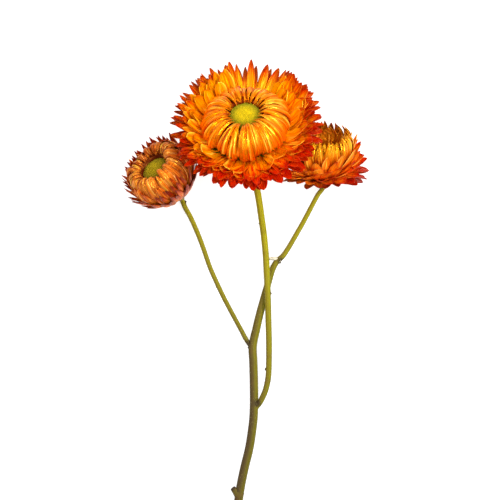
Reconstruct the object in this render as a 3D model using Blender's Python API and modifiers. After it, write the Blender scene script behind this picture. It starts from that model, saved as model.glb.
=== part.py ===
"""A dried strawflower spray, picked and laid on a table: one branched stem with three papery flower heads.

The main head is fully open. The left and right heads are half open. Each head is built in its own frame, with
its origin where the stem meets it and +Z along the way it faces, then leant and placed. In the whole part +Z
is up, the table is z = 0, and the stem runs along Y with its cut end towards -Y. Everything is in metres.
"""

import math
import random
from collections import namedtuple

import bmesh
import bpy
from mathutils import Matrix, Vector
from mathutils.bvhtree import BVHTree

MM = 0.001
LAYOUT_MIDDLE = (-1.0, -0.06, 0)  # the middle of the spray's box, in the layout of the places below
SEAT_GAP = 0.3 * MM  # left between pieces that touch on the real flower
MERGE_DISTANCE = 0.01 * MM

# Bracts. The outline starts at a share of its full width, is widest at a share of its length and ends in a
# point that is blunter the higher the power. Ranges give how a ring's bracts differ, in degrees or shares.
BRACT_THICKNESS = 0.6 * MM
ROOT_WIDTH = 0.4
WIDEST_AT = 0.6
POINT_POWER = 6
AZIMUTH_SPREAD = 0.12  # as a share of the ring's spacing, each way
FOLD_SPREAD = 2.5
LENGTH_RANGE = (0.97, 1.05)
WIDTH_RANGE = (0.92, 1.06)
ROLL_RANGE = (8, 18)  # how far a bract leans over the next one in its ring, like a tile
BENDS = (0, 6, -6, 12, -12, 18, -18, 24, -24, 30, -30)  # tried in turn, to bend a bract clear of a neighbour
EVEN = (0, 0)  # in place of a lopsided pair, for rings whose bracts are all as long
OPEN = 1.65  # the crowding of bracts that stay open, whose faces are finer towards the tip
CURLED = 1.1  # the crowding of bracts that curl over, whose faces are spread along the curl

FLORET_HEIGHT = 0.22  # in millimetres, how far each raised point stands out of a disc
DISC_FOOT = 0.94  # the disc's radius at its foot, as a share of that at its edge
CORE_STEPS = 24  # faces round the core that a ring of bracts grows from

# Stems. Spacings are in millimetres, between one ring of faces and the next.
STEM_SPACING = 4.4
STUB_SPACING = 1.5
SCAR_SIDES = 7
SCAR_TAPER = 0.55  # a scar's radius at its end, as a share of that at its root
SCAR_SEAT = 0.55  # how far from the stem's middle a scar is rooted, as a share of the stem's radius
SCAR_LEAN = 0.8  # how far a scar points ahead for each unit that it points out

TABLE_CUTTER_SIZE = 400 * MM

# One ring of bracts. The spine is the bract's middle line as (radius, height) in millimetres, root first.
# Width is in millimetres, steps is the faces along it, turn is the share of a spacing that the ring is turned
# by, and lift is how far in degrees its bracts are folded up on the table's side and on the other side.
# With crowding above 1, a bract's faces crowd towards its tip.
Whorl = namedtuple("Whorl", "count width spine steps turn lift crowding", defaults=(3, 0.0, (0, 0), OPEN))

# A flower head: where the stem meets it in millimetres, the lean of its face from straight up and the compass
# direction of that lean in degrees, and its rings. It is lopsided: its outer bracts are longer by a share
# towards one azimuth, and shorter by as much on the other side. The seed fixes how its bracts differ.
Head = namedtuple("Head", "name seed foot lean compass lopsided outer_core outer inner_core inner disc")

# A turned shape is listed as (radius, height) in millimetres, from the top of its axis down its outer side.
Disc = namedtuple("Disc", "radius bottom edge top rings around")

MAIN = Head(
    name="main_bloom",
    seed=9,
    foot=(-0.2, 60.2, 14.4),
    lean=38,
    compass=95,
    lopsided=(0.02, 270),
    outer_core=((0, 6.3), (8.6, 6.3), (9.4, 5.2), (7.6, 3.0), (4.6, 1.0), (2.4, 0), (0, 0)),
    outer=(
        Whorl(21, 5.4, ((4.6, 1.6), (12, 3.6), (20, 4.0), (27.6, 2.8)), 3, 0.0),
        Whorl(21, 5.6, ((6.0, 2.6), (13, 5.4), (21, 8.0), (29.4, 9.2)), 3, 0.5),
        Whorl(20, 5.4, ((7.0, 3.8), (14, 6.4), (21, 10.2), (28.2, 14.4)), 3, 0.25),
        Whorl(17, 5.2, ((7.6, 4.6), (14, 6.0), (19.4, 9.6), (24.6, 16.4)), 3, 0.6),
        Whorl(14, 5.4, ((7.6, 5.2), (13.5, 6.4), (17.8, 8.6), (20.6, 14.2)), 3, 0.1),
    ),
    inner_core=((0, 9.4), (9.0, 9.4), (9.8, 8.4), (9.4, 6.6), (0, 6.6)),
    inner=(
        Whorl(21, 4.4, ((8.4, 8.0), (13.2, 8.2), (16.4, 10.8), (15.6, 15.0), (12.2, 18.0), (8.4, 18.6),
              (5.4, 17.3)), 6, crowding=CURLED),
        Whorl(15, 3.4, ((7.8, 8.6), (12.0, 10.2), (13.6, 13.4), (12.0, 16.2), (9.2, 17.2), (7.4, 16.6)),
              4, 0.5, crowding=CURLED),
    ),
    disc=Disc(6.4, 9.7, 15.4, 16.8, 5, 20),
)

LEFT = Head(
    name="left_bloom",
    seed=2,
    foot=(-26.6, 39.4, 4.6),
    lean=50,
    compass=131,
    lopsided=(0.1, 15),
    outer_core=((0, 8.2), (6.2, 8.2), (6.6, 7.0), (5.6, 4.2), (3.6, 1.6), (1.9, 0), (0, 0)),
    outer=(
        Whorl(11, 3.8, ((1.8, 0.9), (5.2, 1.9), (8.4, 4.6)), 2, 0.0),
        Whorl(12, 5.4, ((3.4, 2.2), (8.6, 4.4), (13.0, 8.6), (16.2, 13.0)), 3, 0.5),
        Whorl(13, 5.2, ((4.4, 4.0), (9.4, 7.2), (13.2, 12.4), (15.4, 18.8)), 3, 0.0),
        Whorl(12, 5.0, ((5.2, 5.8), (9.8, 9.0), (12.6, 14.0), (13.0, 20.4)), 3, 0.5),
    ),
    inner_core=((0, 11.0), (6.4, 11.0), (7.0, 10.0), (6.2, 8.5), (0, 8.5)),
    inner=(
        Whorl(16, 4.0, ((5.8, 9.6), (8.8, 10.6), (11.0, 14.0), (10.6, 18.0), (8.2, 20.4), (5.4, 19.6)),
              4, 0.25, crowding=CURLED),
    ),
    disc=Disc(5.2, 11.3, 17.0, 18.2, 4, 18),
)

RIGHT = Head(
    name="right_bloom",
    seed=3,
    foot=(28.5, 44.5, 7.2),
    lean=66,
    compass=91,
    lopsided=(0.05, 20),
    outer_core=((0, 7.4), (5.8, 7.4), (6.4, 6.2), (5.4, 3.6), (3.4, 1.3), (1.8, 0), (0, 0)),
    outer=(
        Whorl(12, 4.8, ((2.0, 0.9), (5.4, 1.8), (10.0, 1.8), (15.2, 0.4)), 3, 0.0, (44, 10)),
        Whorl(12, 5.2, ((3.2, 1.9), (8.4, 3.2), (13.2, 4.2), (17.8, 4.6)), 3, 0.5, (38, 8)),
        Whorl(12, 5.2, ((4.4, 3.2), (8.8, 5.6), (12.8, 8.6), (16.6, 12.0)), 3, 0.0, (24, 0)),
        Whorl(11, 5.2, ((5.0, 4.8), (8.8, 8.2), (11.8, 12.6), (13.8, 17.4)), 3, 0.5, (10, 0)),
    ),
    inner_core=((0, 10.2), (5.8, 10.2), (6.4, 9.2), (5.6, 7.7), (0, 7.7)),
    inner=(
        Whorl(13, 4.6, ((5.4, 8.8), (8.4, 10.4), (9.8, 14.4), (9.8, 18.4), (8.0, 21.6)),
              4, 0.25, crowding=CURLED),
    ),
    disc=Disc(4.8, 10.5, 13.2, 14.6, 4, 18),
)

HEADS = (MAIN, LEFT, RIGHT)

# The stems' middle lines in millimetres, with the radius at shares of their length. Each branch starts inside
# the stem that it grows from, and each one that ends at a head stops short of it, where the neck takes over.
MAIN_STEM_ROUTE = (
    (-4.8, -91.6, 1.6), (-4.2, -83.0, 1.75), (-3.5, -76.0, 2.2), (-2.4, -69.5, 2.7), (-1.1, -63.5, 3.1),
    (0.4, -57.4, 3.6), (1.4, -51.3, 4.1), (2.1, -45.2, 4.5), (2.3, -39.1, 4.9), (2.2, -31.0, 5.2),
    (2.0, -23.9, 5.5), (1.8, -18.0, 5.7), (3.1, -11.8, 5.9), (4.2, -7.0, 6.0), (5.5, -2.0, 6.0),
    (6.8, 2.7, 6.0), (8.0, 7.2, 6.0), (9.3, 11.2, 6.1), (11.0, 14.2, 6.2), (13.3, 16.3, 6.4),
    (15.4, 19.4, 6.4), (18.4, 24.5, 6.5), (21.4, 29.8, 6.5), (24.4, 35.5, 6.4), (26.7, 39.7, 6.4),
)
MAIN_STEM_RADII = ((0, 1.72), (0.42, 1.65), (0.55, 1.5), (0.62, 1.3), (0.7, 1.05), (0.74, 1.0), (1, 0.84))
MAIN_SHOOT_ROUTE = (
    (2.4, -42.6, 4.8), (4.3, -39.9, 5.6), (5.9, -36.9, 6.3), (7.0, -33.8, 6.9), (7.8, -29.3, 7.5),
    (8.0, -23.2, 8.0), (8.0, -15.6, 8.5), (7.8, -8.0, 8.9), (7.6, -0.4, 9.2), (7.4, 5.3, 9.4),
    (7.1, 11.0, 9.5), (6.8, 16.7, 9.6), (6.2, 23.2, 9.7), (5.3, 30.0, 9.8), (4.3, 36.9, 9.9),
    (3.3, 42.6, 10.0), (2.0, 50.0, 10.6),
)
MAIN_SHOOT_RADII = ((0, 1.0), (0.1, 1.15), (0.6, 1.25), (1, 1.4))
LEFT_SHOOT_ROUTE = (
    (1.4, -18.6, 5.5), (-0.8, -15.4, 5.4), (-2.7, -11.8, 5.3), (-6.0, -5.7, 5.1), (-9.2, 0.4, 4.8),
    (-12.1, 6.5, 4.5), (-14.7, 12.5, 4.2), (-16.8, 18.6, 3.8), (-19.1, 24.7, 3.4), (-21.8, 30.8, 2.9),
    (-24.1, 35.0, 2.8),
)
LEFT_SHOOT_RADII = ((0, 0.9), (0.5, 0.92), (1, 1.0))
NECK_DEPTHS = (2.6, 1.2)  # below a head's foot, where the stem has turned to run along the head's axis

# Where a leaf has dropped off: place along the route as a share, side of the stem in degrees, radius and
# length. A short dry stub of a side shoot stands at the bend of the branch to the right head.
MAIN_STEM_SCARS = ((0.093, 178, 1.0, 2.0), (0.4, 178, 0.9, 1.3), (0.67, 5, 0.8, 1.1))
MAIN_SHOOT_SCARS = ((0.24, 175, 0.7, 1.1), (0.44, 5, 0.7, 1.0), (0.67, 178, 0.6, 0.9))
LEFT_SHOOT_SCARS = ((0.36, 200, 0.5, 0.8), (0.8, 10, 0.7, 1.1))
DRY_STUB_ROUTE = ((11.8, 14.0, 6.3), (10.4, 15.1, 6.2), (8.6, 15.6, 6.0))
DRY_STUB_RADII = ((0, 0.8), (0.5, 0.6), (1, 0.45))

ORANGE_RED = (0.80, 0.16, 0.01, 1)
GOLDEN = (0.90, 0.36, 0.01, 1)
COPPER = (0.62, 0.20, 0.04, 1)
COPPER_GOLD = (0.70, 0.30, 0.06, 1)
DISC_YELLOW = (0.72, 0.62, 0.01, 1)
DISC_OLIVE = (0.40, 0.36, 0.02, 1)
STEM_OLIVE = (0.26, 0.22, 0.05, 1)
FINISHES = {
    "main_bloom": (ORANGE_RED, GOLDEN, DISC_YELLOW),
    "left_bloom": (COPPER, COPPER_GOLD, DISC_OLIVE),
    "right_bloom": (COPPER, COPPER_GOLD, DISC_OLIVE),
}
PAPERY_ROUGHNESS = 0.45
FLORET_ROUGHNESS = 0.8
STEM_ROUGHNESS = 0.6


def clear_scene():
    for obj in list(bpy.data.objects):
        bpy.data.objects.remove(obj)


def finish(obj, colour, roughness):
    """Gives the object its own material."""
    material = bpy.data.materials.new(obj.name)
    material.use_nodes = True
    shader = material.node_tree.nodes["Principled BSDF"]
    shader.inputs["Base Color"].default_value = colour
    shader.inputs["Roughness"].default_value = roughness
    shader.inputs["Metallic"].default_value = 0
    obj.data.materials.clear()
    obj.data.materials.append(material)


def smooth_point(points, share):
    """The point at that share of a smooth curve through the points, which are Vectors."""
    spans = len(points) - 1
    along = min(max(share, 0.0), 1.0) * spans
    span = min(int(along), spans - 1)
    t = along - span
    before = points[span - 1] if span else points[0] * 2 - points[1]
    start, end = points[span], points[span + 1]
    after = points[span + 2] if span + 2 < len(points) else end * 2 - start
    return 0.5 * (
        start * 2
        + (end - before) * t
        + (before * 2 - start * 5 + end * 4 - after) * t * t
        + (start * 3 - before - end * 3 + after) * t * t * t
    )


def listed_value(pairs, share):
    """Reads (share, value) pairs along straight lines."""
    for (low, first), (high, second) in zip(pairs, pairs[1:]):
        if share <= high:
            return first + (second - first) * (share - low) / (high - low)
    return pairs[-1][1]


def added(obj):
    bpy.context.scene.collection.objects.link(obj)
    return obj


def baked(obj, name):
    """A new mesh object with obj's evaluated shape, in place of obj."""
    bpy.context.view_layer.update()
    graph = bpy.context.evaluated_depsgraph_get()
    mesh = bpy.data.meshes.new_from_object(obj.evaluated_get(graph))
    mesh.transform(obj.matrix_world)
    bpy.data.objects.remove(obj)
    return added(bpy.data.objects.new(name, mesh))


def keep_outer_skin(obj):
    """Keeps the largest skin alone, without the walls of pockets closed off where pieces cross."""
    shape = bmesh.new()
    shape.from_mesh(obj.data)
    unseen = set(shape.faces)
    skins = []
    while unseen:
        skin = {unseen.pop()}
        to_visit = list(skin)
        while to_visit:
            face = to_visit.pop()
            for edge in face.edges:
                if len(edge.link_faces) > 2:
                    continue
                for neighbour in edge.link_faces:
                    if neighbour in unseen:
                        unseen.remove(neighbour)
                        skin.add(neighbour)
                        to_visit.append(neighbour)
        skins.append(skin)
    largest = max(skins, key=len)
    spare = [face for skin in skins if skin is not largest for face in skin]
    bmesh.ops.delete(shape, geom=spare, context="FACES")
    shape.to_mesh(obj.data)
    shape.free()


def fuse(body, pieces):
    """Joins the pieces to the body with one Boolean union and removes them."""
    name = body.name
    repeats = bpy.data.collections.new(name + "_repeats")
    bpy.context.scene.collection.children.link(repeats)
    for piece in pieces:
        bpy.context.scene.collection.objects.unlink(piece)
        repeats.objects.link(piece)
    join = body.modifiers.new("join", "BOOLEAN")
    join.operation = "UNION"
    join.solver = "MANIFOLD"
    join.operand_type = "COLLECTION"
    join.collection = repeats
    joined = baked(body, name)
    for piece in list(repeats.objects):
        bpy.data.objects.remove(piece)
    bpy.data.collections.remove(repeats)
    joined.name = name
    keep_outer_skin(joined)
    return joined


def turned(name, profile, steps=CORE_STEPS):
    """A solid of revolution from (radius, height) points in millimetres, top of the axis first."""
    mesh = bpy.data.meshes.new(name)
    edges = [(i, i + 1) for i in range(len(profile) - 1)]
    mesh.from_pydata([(radius * MM, 0, height * MM) for radius, height in profile], edges, [])
    obj = added(bpy.data.objects.new(name, mesh))
    screw = obj.modifiers.new("turn", "SCREW")
    screw.axis = "Z"
    screw.steps = screw.render_steps = steps
    screw.use_merge_vertices = True
    screw.merge_threshold = MERGE_DISTANCE
    return obj


def bract_half_width(share):
    """The outline of a bract, as a share of its full half width: a strap that swells and ends in a point."""
    swelling = ROOT_WIDTH + (1 - ROOT_WIDTH) * math.sin(math.pi / 2 * min(share / WIDEST_AT, 1.0))
    return swelling * math.sqrt(max(0.0, 1 - share**POINT_POWER))


def bract(head_frame, whorl, azimuth, fold, growth, half_width, roll):
    """One bract: an open strap along its spine, ending in a point, given its thickness by Solidify."""
    root = Vector(whorl.spine[0])
    turn = Matrix.Rotation(math.radians(fold), 2)
    spine = [root + turn @ (Vector(point) - root) * growth for point in whorl.spine]

    shape = bmesh.new()
    bmesh.ops.create_grid(shape, x_segments=1, y_segments=whorl.steps, size=1)
    for vertex in shape.verts:
        share = 1 - (0.5 - vertex.co.y / 2) ** whorl.crowding
        centre = smooth_point(spine, share)
        reach = vertex.co.x * half_width * bract_half_width(share)
        vertex.co = Vector((centre.x, reach * math.cos(roll), centre.y + reach * math.sin(roll))) * MM
    bmesh.ops.remove_doubles(shape, verts=shape.verts, dist=MERGE_DISTANCE)
    mesh = bpy.data.meshes.new("bract")
    shape.to_mesh(mesh)
    shape.free()
    obj = added(bpy.data.objects.new("bract", mesh))
    obj.matrix_world = head_frame @ Matrix.Rotation(azimuth, 4, "Z")
    thicken = obj.modifiers.new("thickness", "SOLIDIFY")
    thicken.thickness = BRACT_THICKNESS
    thicken.offset = 0
    return obj


def skin_tree(obj):
    """The object's surface in world space, to test what crosses it."""
    graph = bpy.context.evaluated_depsgraph_get()
    shape = bmesh.new()
    shape.from_object(obj, graph)
    shape.transform(obj.matrix_world)
    tree = BVHTree.FromBMesh(shape)
    shape.free()
    return tree


def clears(obj, neighbours):
    """Whether the bract, swollen by the gap it must keep, crosses none of its neighbours."""
    thicken = obj.modifiers["thickness"]
    thicken.thickness = BRACT_THICKNESS + 2 * SEAT_GAP
    bpy.context.view_layer.update()
    own = skin_tree(obj)
    thicken.thickness = BRACT_THICKNESS
    return not any(own.overlap(tree) for tree in neighbours)


def ring_of_bracts(head_frame, whorl, lopsided, neighbours, chance):
    """A ring of bracts that overlap like tiles. One that would cross another piece is bent clear of it."""
    table_lift, high_lift = whorl.lift
    extra, longest = lopsided
    ring = []
    for index in range(whorl.count):
        place = index + whorl.turn + chance.uniform(-AZIMUTH_SPREAD, AZIMUTH_SPREAD)
        azimuth = 2 * math.pi * place / whorl.count
        towards_table = math.sin(azimuth)
        fold = table_lift * max(0, towards_table) + high_lift * max(0, -towards_table)
        fold += chance.uniform(-FOLD_SPREAD, FOLD_SPREAD)
        growth = chance.uniform(*LENGTH_RANGE) + extra * math.cos(azimuth - math.radians(longest))
        half_width = whorl.width / 2 * chance.uniform(*WIDTH_RANGE)
        roll = math.radians(chance.uniform(*ROLL_RANGE))
        for bend in BENDS:
            grown = bract(head_frame, whorl, azimuth, fold + bend, growth, half_width, roll)
            if clears(grown, neighbours):
                ring.append(grown)
                break
            bpy.data.objects.remove(grown)
    return ring


def rings_of_bracts(head_frame, whorls, lopsided, neighbours, chance):
    return [
        grown for whorl in whorls for grown in ring_of_bracts(head_frame, whorl, lopsided, neighbours, chance)
    ]


def floret_disc(head_frame, name, disc):
    """The florets at the middle of a head: a low dome, raised in a chequer of small points."""
    rise = disc.top - disc.edge
    profile = [(0, disc.top)]
    for ring in range(1, disc.rings + 1):
        share = ring / disc.rings
        profile.append((disc.radius * share, disc.edge + rise * math.sqrt(max(0.0, 1 - share**2))))
    profile += [(disc.radius * DISC_FOOT, disc.bottom), (0, disc.bottom)]
    body = baked(turned(name + "_plain", profile, disc.around), name)
    middle_height = (disc.bottom + disc.edge) / 2
    for vertex in body.data.vertices:
        x, y, z = vertex.co / MM
        ring = round(math.hypot(x, y) / disc.radius * disc.rings)
        spoke = round(math.atan2(y, x) / (2 * math.pi) * disc.around)
        if z > middle_height and (ring + spoke) % 2 == 0:
            vertex.co.z += FLORET_HEIGHT * MM
    body.data.transform(head_frame)
    body.data.shade_smooth()
    return body


def placed(layout_point):
    """A point of the layout, in metres from the middle of the whole spray."""
    return (Vector(layout_point) - Vector(LAYOUT_MIDDLE)) * MM


def frame_of(head):
    """Places a head: its +Z leans from straight up towards the compass direction, and its +Y is the side that
    the lean brings nearest to the table."""
    lean = math.radians(head.lean)
    compass = math.radians(head.compass)
    level = Vector((math.cos(compass), math.sin(compass), 0))
    up = Vector((0, 0, 1))
    axis = level * math.sin(lean) + up * math.cos(lean)
    low_side = level * math.cos(lean) - up * math.sin(lean)
    across = low_side.cross(axis)
    rotation = Matrix((across, low_side, axis)).transposed()
    return Matrix.Translation(placed(head.foot)) @ rotation.to_4x4()


def table():
    """The slab below z = 0, which presses a small flat on every piece that rests on it."""
    bpy.ops.mesh.primitive_cube_add(size=TABLE_CUTTER_SIZE, location=(0, 0, -TABLE_CUTTER_SIZE / 2))
    slab = bpy.context.object
    slab.name = "table_cutter"
    slab.hide_render = True
    slab.display_type = "WIRE"
    return slab


def gathered(name, objects):
    """Moves the objects into a new collection of that name."""
    group = bpy.data.collections.new(name)
    bpy.context.scene.collection.children.link(group)
    for obj in objects:
        for holder in list(obj.users_collection):
            holder.objects.unlink(obj)
        group.objects.link(obj)


def rest_on_table(obj, slab):
    press = obj.modifiers.new("rest", "BOOLEAN")
    press.operation = "DIFFERENCE"
    press.object = slab


def flower_head(head, slab, neighbours):
    """Builds one head and returns its pieces, with the surfaces that the next head must clear."""
    place = frame_of(head)
    chance = random.Random(head.seed)
    outer_colour, inner_colour, disc_colour = FINISHES[head.name]

    disc = floret_disc(place, head.name + "_disc", head.disc)
    finish(disc, disc_colour, FLORET_ROUGHNESS)

    plate = turned(head.name + "_inner_bracts", head.inner_core)
    plate.matrix_world = place
    core = turned(head.name + "_outer_bracts", head.outer_core)
    core.matrix_world = place
    bpy.context.view_layer.update()
    around_outer = [*neighbours, skin_tree(plate)]
    outer = fuse(core, rings_of_bracts(place, head.outer, head.lopsided, around_outer, chance))
    rest_on_table(outer, slab)
    finish(outer, outer_colour, PAPERY_ROUGHNESS)

    around_inner = [*neighbours, skin_tree(disc), skin_tree(outer)]
    inner = fuse(plate, rings_of_bracts(place, head.inner, EVEN, around_inner, chance))
    finish(inner, inner_colour, PAPERY_ROUGHNESS)

    return [outer, inner, disc], [skin_tree(outer), skin_tree(inner)]


def route_point(route, share):
    return smooth_point([placed(point) for point in route], share)


def tube(name, route, radii, spacing=STEM_SPACING):
    """A tapering stem along a smooth curve through the route's points."""
    rough_length = sum((Vector(a) - Vector(b)).length for a, b in zip(route, route[1:]))
    count = round(rough_length / spacing)
    curve = bpy.data.curves.new(name, "CURVE")
    curve.dimensions = "3D"
    curve.bevel_depth = MM
    curve.bevel_resolution = 2
    curve.use_fill_caps = True
    spline = curve.splines.new("POLY")
    spline.points.add(count)
    for i, point in enumerate(spline.points):
        share = i / count
        point.co = (*route_point(route, share), 1)
        point.radius = listed_value(radii, share)
    obj = baked(added(bpy.data.objects.new(name, curve)), name)
    shape = bmesh.new()
    shape.from_mesh(obj.data)
    bmesh.ops.remove_doubles(shape, verts=shape.verts, dist=MERGE_DISTANCE)
    shape.to_mesh(obj.data)
    shape.free()
    return obj


def leaf_scar(route, radii, scar):
    """The short stub that a dropped leaf leaves on the stem, pointing out and ahead."""
    share, side, radius, length = scar
    centre = route_point(route, share)
    ahead = (route_point(route, share + 0.01) - centre).normalized()
    level = ahead.cross(Vector((0, 0, 1))).normalized()
    above = level.cross(ahead)
    angle = math.radians(side)
    outward = level * math.cos(angle) + above * math.sin(angle)
    direction = (outward + ahead * SCAR_LEAN).normalized()
    root_radius = radius * MM
    shape = bmesh.new()
    bmesh.ops.create_cone(
        shape,
        cap_ends=True,
        segments=SCAR_SIDES,
        radius1=root_radius,
        radius2=root_radius * SCAR_TAPER,
        depth=2 * length * MM,
    )
    mesh = bpy.data.meshes.new("leaf_scar")
    shape.to_mesh(mesh)
    shape.free()
    obj = added(bpy.data.objects.new("leaf_scar", mesh))
    seat = centre + outward * listed_value(radii, share) * SCAR_SEAT * MM
    obj.matrix_world = Matrix.Translation(seat) @ direction.to_track_quat("Z", "Y").to_matrix().to_4x4()
    return obj


def neck(head):
    """The last points of a shoot: it turns to run along the head's axis and stops just short of the foot."""
    place = frame_of(head)
    middle = Vector(LAYOUT_MIDDLE)
    depths = [*NECK_DEPTHS, SEAT_GAP / MM]
    return tuple(place @ Vector((0, 0, -depth * MM)) / MM + middle for depth in depths)


def stem(slab):
    main_stem = MAIN_STEM_ROUTE + neck(RIGHT)
    main_shoot = MAIN_SHOOT_ROUTE + neck(MAIN)
    left_shoot = LEFT_SHOOT_ROUTE + neck(LEFT)
    body = tube("stem", main_stem, MAIN_STEM_RADII)
    pieces = [
        tube("main_shoot", main_shoot, MAIN_SHOOT_RADII),
        tube("left_shoot", left_shoot, LEFT_SHOOT_RADII),
        tube("dry_stub", DRY_STUB_ROUTE, DRY_STUB_RADII, STUB_SPACING),
    ]
    for route, radii, scars in (
        (main_stem, MAIN_STEM_RADII, MAIN_STEM_SCARS),
        (main_shoot, MAIN_SHOOT_RADII, MAIN_SHOOT_SCARS),
        (left_shoot, LEFT_SHOOT_RADII, LEFT_SHOOT_SCARS),
    ):
        pieces += [leaf_scar(route, radii, scar) for scar in scars]
    whole = fuse(body, pieces)
    rest_on_table(whole, slab)
    whole.data.shade_smooth()
    finish(whole, STEM_OLIVE, STEM_ROUGHNESS)
    return whole


def main():
    clear_scene()
    slab = table()
    spray = []
    neighbours = []
    for head in HEADS:
        pieces, surfaces = flower_head(head, slab, neighbours)
        spray += pieces
        neighbours += surfaces
    spray.append(stem(slab))
    gathered("dried_strawflower", spray)
    gathered("cutters", [slab])


main()
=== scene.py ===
"""The looks of a dried strawflower spray that lies on a table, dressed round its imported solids.

Each head keeps the frame and the rings of the solids: its origin is where the stem meets it and +Z is the way
it faces. Its bracts are set on a spiral instead of in rings, so that they overlap as the real ones do.
"""

import math
import random
from collections import namedtuple

import bpy
from mathutils import Matrix, Vector
from mathutils.bvhtree import BVHTree


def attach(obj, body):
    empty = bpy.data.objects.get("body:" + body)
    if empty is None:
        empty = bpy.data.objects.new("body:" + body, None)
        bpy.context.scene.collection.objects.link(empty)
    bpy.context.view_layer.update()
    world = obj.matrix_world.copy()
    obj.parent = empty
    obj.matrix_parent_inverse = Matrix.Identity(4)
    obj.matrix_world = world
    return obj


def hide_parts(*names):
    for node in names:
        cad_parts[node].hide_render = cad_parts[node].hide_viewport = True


MM = 0.001
TURN = 2 * math.pi
GOLDEN_ANGLE = math.radians(137.508)
UP = Vector((0, 0, 1))
LAYOUT_MIDDLE = Vector((-1.0, -0.06, 0))  # the layout's point that lies at the origin, in millimetres

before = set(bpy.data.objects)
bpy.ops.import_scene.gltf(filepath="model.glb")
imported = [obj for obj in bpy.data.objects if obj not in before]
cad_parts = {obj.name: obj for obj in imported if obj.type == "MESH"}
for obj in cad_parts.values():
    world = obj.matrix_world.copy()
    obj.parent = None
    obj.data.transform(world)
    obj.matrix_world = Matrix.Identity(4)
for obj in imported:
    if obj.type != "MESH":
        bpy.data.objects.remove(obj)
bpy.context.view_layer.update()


def srgb(red, green, blue):
    """A colour picked from a screen, 0 to 255, as the linear colour that a shader takes."""
    def linear(value):
        value /= 255
        return value / 12.92 if value <= 0.04045 else ((value + 0.055) / 1.055) ** 2.4

    return (linear(red), linear(green), linear(blue), 1)


def grey(value):
    return (value, value, value, 1)


# Camera and room

PHOTO_CENTRE = Vector((1.76, 18.68, 0)) * MM
PHOTO_WIDTH = 190 * MM
FLOWER_LEVEL = 20 * MM
CAMERA_DISTANCE = 3.0

# Square lights that face the flower. Sizes and places are in metres, and power is in watts.
Light = namedtuple("Light", "name size power place colour", defaults=((1, 1, 1),))
LIGHT_TARGET = Vector((0, 0.03, 0.015))
SPARKLE_SIZE = 0.15
LIGHTS = (
    Light("window_light", 0.4, 5, (0.45, 0.05, 0.9), (1, 0.98, 0.94)),
    Light("top_fill", 1.1, 3, (0.3, 0.75, 0.95)),
    Light("sparkle_0", SPARKLE_SIZE, 3.2, (-0.5, 0.15, 0.9)),
    Light("sparkle_1", SPARKLE_SIZE, 3.8, (0.5, 0.2, 0.9)),
    Light("sparkle_2", SPARKLE_SIZE, 2.3, (-0.05, -0.4, 1.0)),
    Light("sparkle_3", SPARKLE_SIZE, 1.6, (0.0, 0.62, 0.85)),
    Light("sparkle_4", SPARKLE_SIZE, 1.8, (-0.3, 0.75, 0.7)),
    Light("sparkle_5", SPARKLE_SIZE, 1.8, (0.4, 0.7, 0.7)),
)
ROOM_STRENGTH = 0.32

TABLE_HALF_SIDE = 3.0
TABLE_DROP = 0.0001  # keeps the table's face just below the parts that rest on it
TABLE_GLOW = 0.8


def look_down():
    camera = bpy.data.objects.new("camera", bpy.data.cameras.new("camera"))
    bpy.context.scene.collection.objects.link(camera)
    camera.location = PHOTO_CENTRE + Vector((0, 0, FLOWER_LEVEL + CAMERA_DISTANCE))
    camera.data.sensor_width = 36
    camera.data.lens = camera.data.sensor_width * CAMERA_DISTANCE / PHOTO_WIDTH
    camera.data.clip_end = 20
    bpy.context.scene.camera = camera


def add_light(light):
    lamp = bpy.data.lights.new(light.name, "AREA")
    lamp.size = light.size
    lamp.energy = light.power
    lamp.color = light.colour
    obj = bpy.data.objects.new(light.name, lamp)
    bpy.context.scene.collection.objects.link(obj)
    obj.location = light.place
    obj.rotation_euler = (LIGHT_TARGET - obj.location).to_track_quat("-Z", "Y").to_euler()


def studio():
    for light in LIGHTS:
        add_light(light)
    world = bpy.data.worlds.new("pale_room")
    bpy.context.scene.world = world
    world.use_nodes = True
    backdrop = world.node_tree.nodes["Background"]
    backdrop.inputs["Color"].default_value = grey(1)
    backdrop.inputs["Strength"].default_value = ROOM_STRENGTH
    bpy.context.scene.view_settings.view_transform = "Standard"


# Shader maths

class Signal:
    """A value that varies over a surface. Sums and products of it add Math nodes."""

    def __init__(self, finish, socket):
        self.finish = finish
        self.socket = socket

    def maths(self, operation, *terms):
        settings = {"operation": operation}
        return self.finish.node("ShaderNodeMath", settings, dict(enumerate(terms)))

    def __add__(self, other):
        return self.maths("ADD", self, other)

    __radd__ = __add__

    def __sub__(self, other):
        return self.maths("SUBTRACT", self, other)

    def __rsub__(self, other):
        return self.maths("SUBTRACT", other, self)

    def __mul__(self, other):
        return self.maths("MULTIPLY", self, other)

    __rmul__ = __mul__

    def __pow__(self, other):
        return self.maths("POWER", self, other)

    def __abs__(self):
        return self.maths("ABSOLUTE", self)

    def larger(self, other):
        return self.maths("MAXIMUM", self, other)

    def wave(self):
        return self.maths("SINE", self)

    def step(self, start, end):
        """0 before start, 1 after end, and smooth between them."""
        inputs = {"Value": self, "From Min": start, "From Max": end, "To Min": 0.0, "To Max": 1.0}
        return self.finish.node("ShaderNodeMapRange", {"interpolation_type": "SMOOTHSTEP"}, inputs)


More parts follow.
